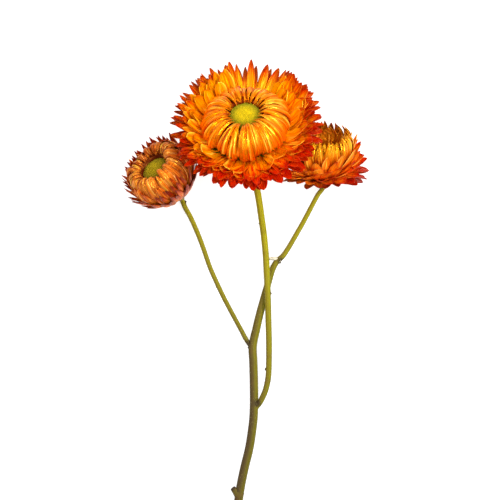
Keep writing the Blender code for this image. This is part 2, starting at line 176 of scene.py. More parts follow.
class Finish:
    """A material and the means to draw its colour, gloss and relief with nodes."""

    def __init__(self, name, **constants):
        self.material = bpy.data.materials.new(name)
        self.material.use_nodes = True
        self.tree = self.material.node_tree
        self.shader = self.tree.nodes["Principled BSDF"]
        for label, value in constants.items():
            self.shader.inputs[label.replace("_", " ").title().replace("Ior", "IOR")].default_value = value

    def feed(self, socket, value):
        if isinstance(value, Signal):
            self.tree.links.new(value.socket, socket)
        else:
            socket.default_value = value

    def node(self, kind, settings, inputs, output=0):
        node = self.tree.nodes.new(kind)
        for name, value in settings.items():
            setattr(node, name, value)
        for name, value in inputs.items():
            self.feed(node.inputs[name], value)
        return Signal(self, node.outputs[output])

    def read(self, attribute):
        return self.node("ShaderNodeAttribute", {"attribute_name": attribute}, {}, "Fac")

    def mix(self, share, first, second, blend="MIX"):
        settings = {"data_type": "RGBA", "blend_type": blend}
        return self.node("ShaderNodeMix", settings, {0: share, 6: first, 7: second}, 2)

    def vector(self, x, y, z):
        return self.node("ShaderNodeCombineXYZ", {}, {0: x, 1: y, 2: z})

    def noise(self, vector, scale, detail=2.0, roughness=0.5):
        inputs = {"Vector": vector, "Scale": scale, "Detail": detail, "Roughness": roughness}
        return self.node("ShaderNodeTexNoise", {}, inputs, "Fac")

    def place(self):
        return self.node("ShaderNodeTexCoord", {}, {}, "Object")

    def relief(self, height, depth):
        """Bumps of that depth in metres."""
        inputs = {"Height": height, "Distance": depth, "Strength": 1.0}
        return self.node("ShaderNodeBump", {}, inputs, "Normal")

    def shade(self, **sockets):
        for label, value in sockets.items():
            self.feed(self.shader.inputs[label.replace("_", " ").title()], value)
        return self.material


# Shapes

def smooth_point(points, share):
    """The point at that share of a smooth curve through the points, which are Vectors."""
    spans = len(points) - 1
    along = min(max(share, 0.0), 1.0) * spans
    span = min(int(along), spans - 1)
    t = along - span
    before = points[span - 1] if span else points[0] * 2 - points[1]
    start, end = points[span], points[span + 1]
    after = points[span + 2] if span + 2 < len(points) else end * 2 - start
    return 0.5 * (
        start * 2
        + (end - before) * t
        + (before * 2 - start * 5 + end * 4 - after) * t * t
        + (start * 3 - before - end * 3 + after) * t * t * t
    )


def between(first, second, share):
    return first + (second - first) * share


def listed_value(pairs, share):
    """Reads (share, value) pairs along straight lines."""
    for (low, first), (high, second) in zip(pairs, pairs[1:]):
        if share <= high:
            return between(first, second, (share - low) / (high - low))
    return pairs[-1][1]


def placed(layout_point):
    return (Vector(layout_point) - LAYOUT_MIDDLE) * MM


class Shape:
    """Vertices, faces and painted values that are gathered into one mesh."""

    def __init__(self):
        self.points = []
        self.faces = []
        self.paint = {}

    def add(self, points, faces, **paint):
        """Each paint is a list of values, one a point, or one value for all these points."""
        start = len(self.points)
        self.points += points
        self.faces += [[start + corner for corner in face] for face in faces]
        for name, values in paint.items():
            if not isinstance(values, list):
                values = [values] * len(points)
            self.paint.setdefault(name, [0.0] * start).extend(values)
        return start

    def grid(self, rows, closed=False, **paint):
        """Faces over rows of points. A closed grid joins the end of each row to its start."""
        width = len(rows[0])
        faces = []
        for row in range(len(rows) - 1):
            for column in range(width if closed else width - 1):
                beside = (column + 1) % width
                here, ahead = row * width, (row + 1) * width
                faces.append((here + column, here + beside, ahead + beside, ahead + column))
        return self.add([point for row in rows for point in row], faces, **paint)

    def finished(self, name, finish, node):
        """Makes the mesh object, which stands for the solid of that node."""
        mesh = bpy.data.meshes.new(name)
        mesh.from_pydata(self.points, [], self.faces)
        for label, values in self.paint.items():
            attribute = mesh.attributes.new(label, "FLOAT", "POINT")
            attribute.data.foreach_set("value", values)
        mesh.shade_smooth()
        mesh.materials.append(finish)
        obj = bpy.data.objects.new(name, mesh)
        bpy.context.scene.collection.objects.link(obj)
        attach(obj, "root")
        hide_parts(node)
        return obj


# Heads

# A row's spine is the middle line of its bracts as (radius, height) in millimetres, root first. Width is in
# millimetres. A bract narrows from the share of its length given by taper, to a tip that point makes round
# at 0 and long at 1. Cup is how far its sides are curved up in degrees, rim is how far its edges roll back in
# millimetres, and crease is how far its middle stands out as a ridge, as a share of its half width. Lift
# folds the bracts up on the table's side and on the other side, in degrees.
Row = namedtuple("Row", "spine width taper point cup rim crease lift", defaults=((0, 0),))

# How the bracts of a group are made and how far they differ. Steps is how many parts a bract has along its
# length. Roll is a range in degrees, and lengths and widths are ranges of shares. Sway is how far they bend
# sideways in millimetres, fold and twist are in degrees, and bulge is in millimetres. Stunted is the share
# that stop short, root is the width of the root as a share, and blunt is how much broader and blunter the
# bracts are on the head's ripe side.
Habit = namedtuple(
    "Habit", "steps roll lengths widths sway fold twist bulge stunted root blunt", defaults=(0,)
)
SPREADING = Habit(
    steps=14, roll=(-6, 16), lengths=(0.93, 1.04), widths=(0.8, 1.2), sway=1.0, fold=3, twist=18, bulge=0.0,
    stunted=0.0, root=0.5,
)
OPEN = SPREADING._replace(blunt=0.4)
CURLED = Habit(
    steps=22, roll=(-20, 24), lengths=(0.92, 1.04), widths=(0.65, 1.3), sway=1.3, fold=3, twist=34, bulge=0.6,
    stunted=0.07, root=1.0,
)
SCALY = Habit(
    steps=6, roll=(-10, 10), lengths=(0.8, 1.1), widths=(0.6, 1.3), sway=0.3, fold=2, twist=10, bulge=0.0,
    stunted=0.0, root=0.7,
)

# A group of bracts is longer by a share towards one azimuth, given by lopsided, and its ripe side, which is
# redder, is towards another. On the curled bracts the ripe side is the back of the cup, and the darker colour
# there is painted shade as well as ripeness. Where it is bare, between two azimuths, it has only its lower
# rows, up to that share of them.
Group = namedtuple("Group", "count lopsided redder habit rows bare", defaults=((0, 0, 1),))

# A head's foot is where its stem meets it, in the layout's millimetres. It leans that many degrees from
# upright, towards the compass angle. The core and the lining are turned shapes, listed as (radius, height) in
# millimetres, and the lining closes the space behind the curled bracts. The fringe is a group of small scales
# and how green they are. A disc's bottom, edge and top are heights, and florets is how many it has.
Head = namedtuple("Head", "name foot lean compass core outer lining inner fringe disc")
Disc = namedtuple("Disc", "radius bottom edge top florets")

MAIN = Head(
    name="main_bloom",
    foot=(-0.2, 60.2, 14.4),
    lean=38,
    compass=95,
    core=((0.01, 6.3), (8.6, 6.3), (9.4, 5.2), (7.6, 3.0), (4.6, 1.0), (2.4, 0.1), (0.01, 0.1)),
    outer=Group(235, (0.02, 350), 290, OPEN, (
        Row(((4.6, 1.6), (12, 3.6), (20, 4.0), (27.6, 2.8)), 3.7, 0.72, 0.35, 20, 0.1, 0.1),
        Row(((6.0, 2.6), (13, 5.4), (21, 8.0), (29.8, 9.2)), 3.1, 0.7, 0.55, 24, 0.1, 0.15),
        Row(((7.0, 3.8), (14, 6.4), (21, 10.2), (28.15, 14.1)), 3.2, 0.72, 0.55, 26, 0.15, 0.2, (0, -8)),
        Row(((7.6, 4.6), (14, 6.0), (19.4, 9.6), (24.8, 16.6)), 4.6, 0.76, 0.4, 34, 0.25, 0.15, (0, -20)),
        Row(((7.6, 5.6), (13.5, 8.2), (17.4, 10.2), (20.6, 15.0)), 6.0, 0.8, 0.0, 36, 0.3, 0.1, (0, -18)),
    ), (50, 100, 0.6)),
    lining=((6.0, 13.0), (7.2, 15.2), (9.2, 15.9), (11.1, 14.4), (12.2, 12.2), (11.2, 9.6), (8.0, 8.2)),
    inner=Group(99, (0.08, 280), 90, CURLED, (
        Row(((9.4, 7.4), (13.8, 7.6), (16.4, 10.2), (15.6, 14.2), (12.6, 17.2), (8.6, 18.7), (5.4, 17.2)),
            5.8, 0.22, 1.5, 28, 0.2, 0.5),
        Row(((8.0, 8.4), (12.6, 9.0), (15.0, 11.6), (14.2, 15.2), (11.4, 17.8), (8.4, 18.2), (5.5, 16.4)),
            4.7, 0.26, 1.5, 30, 0.1, 0.55),
        Row(((7.8, 8.8), (11.6, 10.2), (13.6, 12.8), (12.6, 15.8), (10.2, 17.4), (8.0, 17.4), (6.3, 15.7)),
            2.9, 0.3, 1.4, 30, 0.0, 0.6),
    )),
    fringe=(Group(90, (0, 0), 90, SCALY, (
        Row(((13.0, 8.4), (15.2, 8.8), (16.9, 10.4), (18.3, 12.0)), 1.0, 0.4, 0.9, 20, 0.0, 0.0),
        Row(((13.0, 8.2), (15.4, 8.5), (17.1, 10.0), (18.6, 11.6)), 0.9, 0.4, 0.9, 20, 0.0, 0.0),
    ), (325, 210, -1)), 1.0),
    disc=Disc(6.1, 9.7, 15.0, 16.3, 380),
)

LEFT = Head(
    name="left_bloom",
    foot=(-26.6, 39.4, 4.6),
    lean=50,
    compass=131,
    core=((0.01, 8.2), (6.2, 8.2), (6.6, 7.0), (5.6, 4.2), (3.6, 1.6), (1.9, 0.1), (0.01, 0.1)),
    outer=Group(140, (0.085, 45), 40, SPREADING, (
        Row(((1.8, 0.9), (4.2, 1.4), (6.4, 2.6), (8.4, 4.6)), 3.2, 0.7, 0.4, 24, 0.1, 0.0),
        Row(((3.4, 2.2), (8.6, 4.4), (13.0, 8.6), (16.0, 12.8)), 2.8, 0.6, 0.7, 34, 0.1, 0.1),
        Row(((4.4, 4.0), (9.4, 7.0), (12.8, 11.8), (14.8, 18.0)), 3.0, 0.6, 0.8, 36, 0.1, 0.1),
        Row(((5.2, 5.8), (9.6, 8.6), (12.5, 13.4), (12.9, 19.0)), 3.6, 0.5, 0.9, 36, 0.1, 0.2),
        Row(((5.6, 7.0), (9.8, 9.6), (12.2, 13.8), (12.0, 18.2), (10.6, 20.8)),
            3.6, 0.45, 1.0, 32, 0.1, 0.25),
    )),
    lining=((4.8, 15.4), (5.8, 18.0), (7.4, 18.6), (8.8, 16.6), (8.8, 13.6), (7.6, 11.4), (5.4, 10.0)),
    inner=Group(104, (0.07, 318), 80, CURLED, (
        Row(((5.8, 9.6), (8.8, 10.6), (11.4, 14.0), (11.1, 18.4), (9.0, 21.0), (6.8, 20.2), (6.2, 19.0)),
            3.3, 0.36, 1.2, 30, 0.2, 0.45),
        Row(((5.6, 9.8), (8.0, 11.0), (9.9, 14.0), (9.8, 17.8), (8.4, 20.0), (6.6, 19.0), (5.8, 17.4)),
            2.7, 0.36, 1.1, 30, 0.1, 0.5),
    )),
    fringe=None,
    disc=Disc(5.4, 11.3, 16.6, 18.1, 260),
)

RIGHT = Head(
    name="right_bloom",
    foot=(28.5, 44.5, 7.2),
    lean=66,
    compass=91,
    core=((0.01, 7.4), (5.8, 7.4), (6.4, 6.2), (5.4, 3.6), (3.4, 1.3), (1.8, 0.1), (0.01, 0.1)),
    outer=Group(98, (0.05, 20), 340, SPREADING, (
        Row(((2.0, 0.9), (5.4, 1.8), (10.0, 1.8), (15.2, 0.4)), 5.0, 0.74, 0.3, 24, 0.1, 0.0, (44, 10)),
        Row(((3.2, 1.9), (8.4, 3.2), (13.2, 4.2), (17.8, 4.6)), 5.2, 0.74, 0.4, 26, 0.1, 0.0, (38, 8)),
        Row(((4.4, 3.2), (8.8, 5.6), (12.8, 8.6), (16.6, 12.0)), 4.4, 0.7, 0.5, 32, 0.15, 0.2, (24, 0)),
        Row(((5.0, 4.8), (8.8, 8.2), (11.8, 12.6), (13.8, 17.4)), 3.4, 0.6, 0.8, 36, 0.2, 0.3, (10, 0)),
    )),
    lining=((6.0, 12.0), (8.2, 15.0), (8.6, 17.4), (9.0, 17.4), (8.8, 14.2), (7.4, 11.0), (5.0, 9.0)),
    inner=Group(84, (0.04, 90), 90, CURLED, (
        Row(((5.4, 8.8), (8.8, 10.4), (11.0, 14.4), (11.2, 18.2), (9.8, 21.2)), 3.2, 0.45, 1.0, 28, 0.2, 0.3),
        Row(((5.2, 9.0), (7.8, 10.8), (9.8, 14.0), (10.0, 17.4), (8.6, 19.8)), 2.4, 0.45, 1.0, 28, 0.1, 0.4),
    )),
    fringe=(Group(70, (0, 0), 90, SCALY, (
        Row(((6.6, 11.8), (8.0, 13.8), (8.7, 16.6), (8.4, 19.6)), 2.4, 0.6, 0.3, 20, 0.0, 0.2),
        Row(((5.0, 11.6), (6.8, 13.0), (8.0, 15.2), (8.0, 17.4)), 2.0, 0.6, 0.3, 20, 0.0, 0.2),
    )), 0.0),
    disc=Disc(5.2, 9.9, 12.0, 13.4, 240),
)

BRACT_COLUMNS = 10
BRACT_THICKNESS = 0.14 * MM
TIP_CROWDING = 1.35  # how far a bract's faces crowd towards its tip
SLOPE_REACH = 0.02  # how far to each side of a point its slope is measured, as a share of the length
CLEAR_BENDS = (0, 5, -5, 10, -10, 16, -16, 22)  # degrees that a bract is folded by to clear another head

# How far the bracts of one row differ, whatever their habit
AZIMUTH_EXTRA = (-0.06, 0.06)
POINT_EXTRA = (-0.15, 0.15)
CUP_SHARE = (0.7, 1.3)
CREASE_EXTRA = (-0.1, 0.2)
RIDGE_PLACE = (-0.35, 0.35)
STUNTED_REACH = (0.62, 0.82)
PLEAT_HEIGHT = (0.03, 0.12)

PLEAT_WAVES = 5.2
ROOT_CUP = 0.35  # how much of the cup the root has
RIM_START = 0.6  # where the rim starts to roll back, as a share of the half width
BROAD_FROM = 0.2  # how ripe a blunt bract is before it is broader
LEAST_POINT = 0.05

TURNED_SIDES = 40
# What is painted on the turned shapes, which only show between the bracts and take the inside colour as
# painted shade
HIDDEN_PAINT = {
    "along": 0.5, "across": 0.0, "tone": 0.5, "row": 1.0, "ripe": 0.5, "green": 0.0, "inside": 1.0,
}


def frame_of(head):
    lean = math.radians(head.lean)
    compass = math.radians(head.compass)
    level = Vector((math.cos(compass), math.sin(compass), 0))
    axis = level * math.sin(lean) + UP * math.cos(lean)
    low_side = level * math.cos(lean) - UP * math.sin(lean)
    rotation = Matrix((low_side.cross(axis), low_side, axis)).transposed()
    return Matrix.Translation(placed(head.foot)) @ rotation.to_4x4()


def bract_outline(share, taper, point, root):
    """Half width as a share of the full one: a strap that swells, then closes to a round or pointed tip."""
    swelling = between(root, 1, math.sin(math.pi / 2 * min(share / taper, 1.0)))
    closing = max(0.0, (share - taper) / (1 - taper))
    return swelling * max(0.0, 1 - closing ** between(2.2, 1.4, point)) ** between(0.5, 0.9, point)


def along_bract(step, steps):
    return 1 - (1 - step / steps) ** TIP_CROWDING


def across_bract(column):
    return 2 * column / BRACT_COLUMNS - 1


class Bract:
    """The numbers that set one bract apart from the others of its head."""

    def __init__(self, group, row, azimuth, growth, fold, chance):
        low = min(int(row), len(group.rows) - 2)
        first, second = group.rows[low], group.rows[low + 1]
        habit = group.habit
        self.share = row - low
        self.spines = (first.spine, second.spine)
        self.azimuth = azimuth
        self.growth = growth
        self.fold = fold
        self.half_width = between(first.width, second.width, self.share) / 2 * chance.uniform(*habit.widths)
        self.taper = between(first.taper, second.taper, self.share)
        self.point = between(first.point, second.point, self.share) + chance.uniform(*POINT_EXTRA)
        self.cup = math.radians(between(first.cup, second.cup, self.share) * chance.uniform(*CUP_SHARE))
        self.rim = between(first.rim, second.rim, self.share)
        self.crease = between(first.crease, second.crease, self.share) + chance.uniform(*CREASE_EXTRA)
        self.ridge = chance.uniform(*RIDGE_PLACE)
        self.roll = math.radians(chance.uniform(*habit.roll))
        self.twist = math.radians(chance.uniform(-habit.twist, habit.twist))
        self.bulge = chance.uniform(-habit.bulge, habit.bulge)
        self.root = habit.root
        self.reach = chance.uniform(*STUNTED_REACH) if chance.random() < habit.stunted else 1.0
        self.sway = chance.uniform(-habit.sway, habit.sway)
        self.pleat = chance.uniform(*PLEAT_HEIGHT)
        self.phase = chance.uniform(0, TURN)
        self.tone = chance.random()

    def centre(self, share):
        """The middle line's point, in the bract's own plane through the head's axis."""
        share *= self.reach
        first, second = (smooth_point([Vector(point) for point in spine], share) for spine in self.spines)
        root = between(Vector(self.spines[0][0]), Vector(self.spines[1][0]), self.share)
        turn = Matrix.Rotation(math.radians(self.fold), 2)
        grown = root + turn @ (between(first, second, self.share) - root) * self.growth
        return grown + Vector((self.bulge * math.sin(math.pi * min(max(share, 0), 1)), 0))

    def direction(self, share):
        """The way the middle line runs there, in three dimensions."""
        beyond = min(share + SLOPE_REACH, 1.0)
        ahead = (self.centre(beyond) - self.centre(beyond - 2 * SLOPE_REACH)).normalized()
        return Vector((ahead.x, 0, ahead.y))

    def rise(self, share, across, half_width, cup):
        """How far a point stands above the middle line: cupped, rolled back, creased and pleated."""
        edge = abs(across)
        cupped = half_width * (1 - math.cos(cup * across)) / cup
        rolled = (max(0.0, edge - RIM_START) / (1 - RIM_START)) ** 2 * math.sin(math.pi * min(share * 1.1, 1))
        creased = (1 - abs(across - self.ridge) / (1 + abs(self.ridge))) * half_width
        pleated = math.sin(PLEAT_WAVES * across + self.phase) * math.sin(math.pi * share)
        return cupped - self.rim * rolled - self.crease * creased + self.pleat * pleated

    def rows_of_points(self, place, steps):
        """Rows of points across the bract, from root to tip."""
        rows = []
        spun = place @ Matrix.Rotation(self.azimuth, 4, "Z")
        for step in range(steps + 1):
            share = along_bract(step, steps)
            centre = self.centre(share)
            forward = self.direction(share)
            side = Matrix.Rotation(self.roll + self.twist * share, 3, forward) @ Vector((0, 1, 0))
            above = forward.cross(side)
            half_width = self.half_width * bract_outline(share, self.taper, self.point, self.root)
            middle = Vector((centre.x, self.sway * share * share, centre.y))
            cup = self.cup * min(ROOT_CUP + share * 2, 1)
            row = []
            for column in range(BRACT_COLUMNS + 1):
                across = across_bract(column)
                reach = half_width * math.sin(cup * across) / cup
                rise = self.rise(share, across, half_width, cup)
                point = spun @ ((middle + side * reach + above * rise) * MM)
                point.z = max(point.z, BRACT_THICKNESS)
                row.append(point)
            rows.append(row)
        return rows


def surface_of(points, faces):
    return BVHTree.FromPolygons(points, faces)


def crosses(rows, neighbours):
    shape = Shape()
    shape.grid(rows)
    own = surface_of(shape.points, shape.faces)
    return any(own.overlap(tree) for tree in neighbours)


def is_bare(group, azimuth, height):
    start, end, kept = group.bare
    return (math.degrees(azimuth) - start) % 360 < (end - start) % 360 and height > kept


def level_ring(place, radius, height, sides):
    """Points round a head's axis, at a radius and a height in millimetres."""
    angles = (TURN * step / sides for step in range(sides))
    return [place @ (Vector((radius * math.cos(a), radius * math.sin(a), height)) * MM) for a in angles]


def turned(shape, place, profile):
    """A turned surface from (radius, height) points in millimetres."""
    rings = [level_ring(place, radius, height, TURNED_SIDES) for radius, height in profile]
    shape.grid(rings, closed=True, **HIDDEN_PAINT)


def bracts(shape, head, group, neighbours, seed, green=0.0):
    """Adds a spiral of bracts, from the lowest row to the one nearest the disc."""
    chance = random.Random(seed)
    place = frame_of(head)
    habit = group.habit
    extra, longest = group.lopsided
    steps = range(habit.steps + 1)
    columns = range(BRACT_COLUMNS + 1)
    along = [along_bract(step, habit.steps) for step in steps for _ in columns]
    across = [across_bract(column) for _ in steps for column in columns]
    for index in range(group.count):
        height = index / (group.count - 1)
        row = height * (len(group.rows) - 1)
        azimuth = index * GOLDEN_ANGLE + chance.uniform(*AZIMUTH_EXTRA)
        low = min(int(row), len(group.rows) - 2)
        lifts = zip(group.rows[low].lift, group.rows[low + 1].lift)
        table_lift, high_lift = (between(first, second, row - low) for first, second in lifts)
        towards_table = math.sin(azimuth)
        fold = table_lift * max(0, towards_table) + high_lift * max(0, -towards_table)
        fold += chance.uniform(-habit.fold, habit.fold)
        growth = chance.uniform(*habit.lengths) + extra * math.cos(azimuth - math.radians(longest))
        ripe = 0.5 + 0.5 * math.cos(azimuth - math.radians(group.redder))
        grown = Bract(group, row, azimuth, growth, fold, chance)
        grown.half_width *= 1 + habit.blunt * (ripe - BROAD_FROM)
        grown.point = max(grown.point - habit.blunt * ripe, LEAST_POINT)
        if is_bare(group, azimuth, height):
            continue
        for bend in CLEAR_BENDS:
            grown.fold = fold + bend
            points = grown.rows_of_points(place, habit.steps)
            if not crosses(points, neighbours):
                break
        shape.grid(
            points,
            along=along,
            across=across,
            tone=grown.tone,
            row=height,
            ripe=ripe,
            green=green,
            inside=0.0,
        )


# The finish of a group of bracts. Root and body are its two main colours, gilt is the colour of its bright
# streaks, which are partly painted highlights, ripe of the head's ripe side, tip of the tips, rim of the
# painted highlights along the edges, shade of the dark lines and of the painted shade at the roots and along
# one edge, and the inside colour that of the painted shade between the top rows and far within the head.
# First_red and last_red are where the red of the tips starts on the lowest and on the top row, as a share of
# a bract's length, and pull is how much sooner it starts on the ripe side. Edged and gleam are the rows from
# which edges get painted highlights and crests get painted glints. The gap shade is how dark the painted
# shade is between the top rows and along one edge, base is how dark the lowest scales are, and metallic is
# how metallic it looks.
Paper = namedtuple(
    "Paper",
    "name root body gilt ripe tip rim shade inside first_red last_red pull edged gleam deep base metallic",
)
SHEEN_COLOUR = srgb(255, 200, 80)
TIP_END_COLOUR = srgb(96, 2, 0)
SCALE_GREEN = srgb(66, 84, 10)
# Colours of the painted glints and of the painted glow on glints and edges
PAINTED_GLINT_COLOUR = srgb(255, 228, 80)
PAINTED_GLINT_GLOW = srgb(255, 180, 40)
PAINTED_EDGE_GLOW = srgb(255, 150, 10)
TONE_SPREAD = 40  # keeps the noise of one bract apart from the next one's
WRINKLE_SPREAD = 60
WRINKLE_DEPTH = 0.7 * MM


def papery(paper):
    """Dried bracts: glossy, streaked along their length and redder to the tip, with painted highlights along
    the edge, painted glints and painted shade.
    """
    finish = Finish(
        paper.name,
        specular_ior_level=0.35,
        specular_tint=SHEEN_COLOUR,
        coat_roughness=0.25,
        emission_strength=0.4,
    )
    along = finish.read("along")
    across = finish.read("across")
    edge = abs(across)
    tone = finish.read("tone")
    row = finish.read("row")
    ripe = finish.read("ripe")
    green = finish.read("green")
    inside = finish.read("inside")
    broad = finish.noise(finish.vector(across * 3, along * 1.2, tone * TONE_SPREAD), 1.6, 3.0)
    fine = finish.noise(finish.vector(across * 8, along * 1.6, tone * TONE_SPREAD), 1.0, 1.5)

    # From the root's colour to the body's, and to the ripe side's, partly painted shade on the curled bracts
    colour = finish.mix((along + ripe * 0.3).step(0.35, 0.95), paper.root, paper.body)
    colour = finish.mix((1 - row) * 0.4 * along.step(0.2, 0.8) + ripe * 0.6, colour, paper.ripe)

    # Red tips, darkest at their very end
    start = row * row * (paper.last_red - paper.first_red) + paper.first_red
    past = along + broad * 0.3 + tone * 0.2 + ripe * paper.pull + edge * 0.05 - 0.35 - start
    red = past.step(0.0, 0.32)
    colour = finish.mix(red, colour, paper.tip)
    colour = finish.mix(past.step(0.1, 0.4) * (0.72 - ripe * 0.55), colour, TIP_END_COLOUR)

    # Bright streaks, partly painted highlights
    streak = fine.step(0.45, 0.66)
    gilded = streak * (1 - red * 0.8) * (1 - ripe * 0.4)
    colour = finish.mix(gilded * (0.78 - ripe * 0.24), colour, paper.gilt)

    # Dark lines, painted shade at the roots and along one edge, painted shade between the top rows, and the
    # darker lowest scales, in the colour of the shade between the top rows
    lines = (1 - fine).step(0.48, 0.7) * 0.55
    root_shade = (1 - along.step(0.05, 0.3)) * 0.6
    painted_side_shade = (across * (0.5 - tone) * 8).step(0.0, 1.0) * (0.5 + paper.deep * 0.6)
    colour = finish.mix(lines + root_shade + (edge ** 3.0) * painted_side_shade, colour, paper.shade, "MULTIPLY")
    deep = row.step(0.4, 1.0) * (1 - along.step(0.55, 0.85)) * paper.deep
    colour = finish.mix(deep, colour, paper.inside)
    colour = finish.mix((1 - row.step(0.05, 0.36)) * (1 - ripe * 0.6) * paper.base, colour, paper.inside)

    # A painted highlight: a pale edge on the side that is lit, on some bracts
    lit_side = (across * (tone - 0.5) * 8).step(0.0, 1.0)
    margin = (edge.larger(along.step(0.9, 1.0)) ** 4.0) * lit_side
    plain = (1 - red) * (1 - green) * (1 - inside)
    edge_highlight = margin * along.step(0.2, 0.6) * (row - paper.edged).step(0.0, 0.6) * plain
    edge_highlight = edge_highlight * (tone * 5).wave().step(-0.4, 0.4)
    colour = finish.mix(edge_highlight, colour, paper.rim)
    colour = finish.mix(green, colour, SCALE_GREEN)
    # Painted shade on the turned shapes far within the head
    colour = finish.mix(inside, colour, paper.inside)

    # Painted glints: pale highlights painted on the crests of the curled bracts
    crest = abs(across * 2 + broad - 0.5)
    shoulder = along + tone * 0.3
    painted_glint = (1 - crest.step(0.1, 0.45)) * shoulder.step(0.5, 0.7) * (1 - shoulder.step(0.8, 1.0))
    painted_glint = painted_glint * (row - paper.gleam).step(0.0, 0.4) * broad.step(0.42, 0.58) * plain * 0.7
    colour = finish.mix(painted_glint, colour, PAINTED_GLINT_COLOUR)

    wrinkle = finish.noise(finish.vector(across * 2.2, along * 2.4, tone * WRINKLE_SPREAD), 1.0, 1.0)
    return finish.shade(
        base_color=colour,
        roughness=broad * 0.14 + (1 - row) * paper.base * 0.2 + 0.21,
        metallic=(0.3 + gilded * 0.7) * paper.metallic,
        coat_weight=streak * 0.08,
        # The painted glints and edge highlights also glow a little, as painted light
        emission_color=finish.mix(painted_glint, finish.mix(edge_highlight, grey(0), PAINTED_EDGE_GLOW), PAINTED_GLINT_GLOW),
        normal=finish.relief(wrinkle, WRINKLE_DEPTH),
    )


def thin_sheets(obj):
    """Gives open sheets the thickness of a dried bract."""
    thicken = obj.modifiers.new("thickness", "SOLIDIFY")
    thicken.thickness = BRACT_THICKNESS
    thicken.offset = 0


# Discs

# The colours of a disc's florets: in the middle, at the edge, where it is darker partly as painted shade
# under the bracts, and the painted shade between them at their feet.
Florets = namedtuple("Florets", "name centre edge pit")
FLORET_PROFILE = ((0.0, 1.0), (0.5, 0.95), (0.85, 0.62), (1.0, 0.15))  # share of its height, and width there
FLORET_SIDES = 7
FLORET_SIZE = (0.8, 1.05)
FLORET_LIFT = (0.1, 0.3)
FLORET_DEPTH = 0.25  # how far its foot is sunk under the dome, in millimetres
OUTERMOST_FLORET = 0.97  # as a share of the disc's radius
BED_SIDES = 36
BED_RINGS = 8
BED_DEPTH = 0.3  # how far the bed lies under the dome, in millimetres
SPECKLE_SCALE = 2600.0
SPECKLE_DEPTH = 0.08 * MM


def dome(disc, radius):
    """The height of a disc at that radius, in millimetres."""
    rise = disc.top - disc.edge
    return disc.edge + rise * math.sqrt(max(0.0, 1 - (radius / disc.radius) ** 2))


def florets(head, finish, seed):
    """The disc: a dome packed with small round florets on a spiral, over a plain bed."""
    chance = random.Random(seed)
    place = frame_of(head)
    disc = head.disc
    shape = Shape()
    radii = [disc.radius * step / BED_RINGS for step in range(1, BED_RINGS + 1)]
    profile = [(0.02, disc.top - BED_DEPTH)]
    profile += [(radius, dome(disc, radius) - BED_DEPTH) for radius in radii]
    profile += [(disc.radius * 0.94, disc.bottom)]
    rings = [level_ring(place, radius, height, BED_SIDES) for radius, height in profile]
    out = [radius / disc.radius for radius, _ in profile for _ in range(BED_SIDES)]
    shape.grid(rings, closed=True, out=out, tone=0.5, tip=0.0)
    angles = [TURN * step / FLORET_SIDES for step in range(FLORET_SIDES)]
    tips = [share for share, _ in FLORET_PROFILE for _ in angles]
    for index in range(disc.florets):
        out = math.sqrt((index + 0.5) / disc.florets)
        radius = disc.radius * out * OUTERMOST_FLORET
        angle = index * GOLDEN_ANGLE
        size = disc.radius / math.sqrt(disc.florets) * chance.uniform(*FLORET_SIZE)
        length = chance.uniform(*FLORET_LIFT) + size * 0.8
        foot = dome(disc, radius) - FLORET_DEPTH
        centre = Vector((radius * math.cos(angle), radius * math.sin(angle), foot))
        lean = Vector((math.cos(angle), math.sin(angle), 0)) * out * 0.5
        axis = (UP + lean).normalized()
        side = axis.orthogonal().normalized()
        other = axis.cross(side)
        rings = []
        for share, width in FLORET_PROFILE:
            height = axis * length * share
            rings.append([
                place @ ((centre + height + (side * math.cos(a) + other * math.sin(a)) * size * width) * MM)
                for a in angles
            ])
        shape.grid(rings, closed=True, out=out, tone=chance.random(), tip=tips)
    shape.finished(head.name + "_florets", finish, head.name + "_disc")


def floret_finish(look):
    finish = Finish(look.name, specular_ior_level=0.2)
    out = finish.read("out")
    tone = finish.read("tone")
    tip = finish.read("tip")
    # Darker to the edge, partly painted shade, and painted shade at the florets' feet
    colour = finish.mix(out.step(0.35, 1.0), look.centre, look.edge)
    colour = finish.mix((1 - tip.step(0.0, 0.8)) * 0.55, colour, look.pit)
    colour = finish.mix(tone * 0.25, colour, look.edge)
    speckle = finish.noise(finish.place(), SPECKLE_SCALE, 2.0)
    relief = finish.relief(speckle, SPECKLE_DEPTH)
    return finish.shade(base_color=colour, roughness=0.6 + speckle * 0.3, normal=relief)


# How a head is finished: its spreading and its curled bracts, its florets, the material slots of the three,
# and the seed of its random numbers.
Dress = namedtuple("Dress", "spreading curled florets slots seed")

MAIN_DRESS = Dress(
    spreading=Paper(
        "orange_red_bract", root=srgb(216, 118, 0), body=srgb(226, 130, 0), gilt=srgb(255, 208, 0),
        ripe=srgb(255, 140, 0), tip=srgb(214, 20, 0), rim=srgb(255, 206, 60), shade=srgb(214, 104, 30),
        inside=srgb(110, 36, 4), first_red=0.46, last_red=0.94, pull=0.14, edged=0.2, gleam=0.3, deep=0.0,
        base=0.0, metallic=0.35,
    ),
    curled=Paper(
        "golden_bract", root=srgb(228, 88, 0), body=srgb(236, 112, 0), gilt=srgb(254, 188, 4),
        ripe=srgb(236, 122, 0), tip=srgb(120, 20, 0), rim=srgb(255, 216, 70), shade=srgb(196, 74, 10),
        inside=srgb(120, 26, 2), first_red=1.5, last_red=1.2, pull=0.6, edged=-0.6, gleam=-0.4, deep=0.7,
        base=0.0, metallic=0.9,
    ),
    florets=Florets("yellow_florets", srgb(218, 188, 0), srgb(130, 122, 0), srgb(120, 104, 0)),
    slots=("main_outer_bract", "main_inner_bract", "main_disc"),
    seed=11,
)
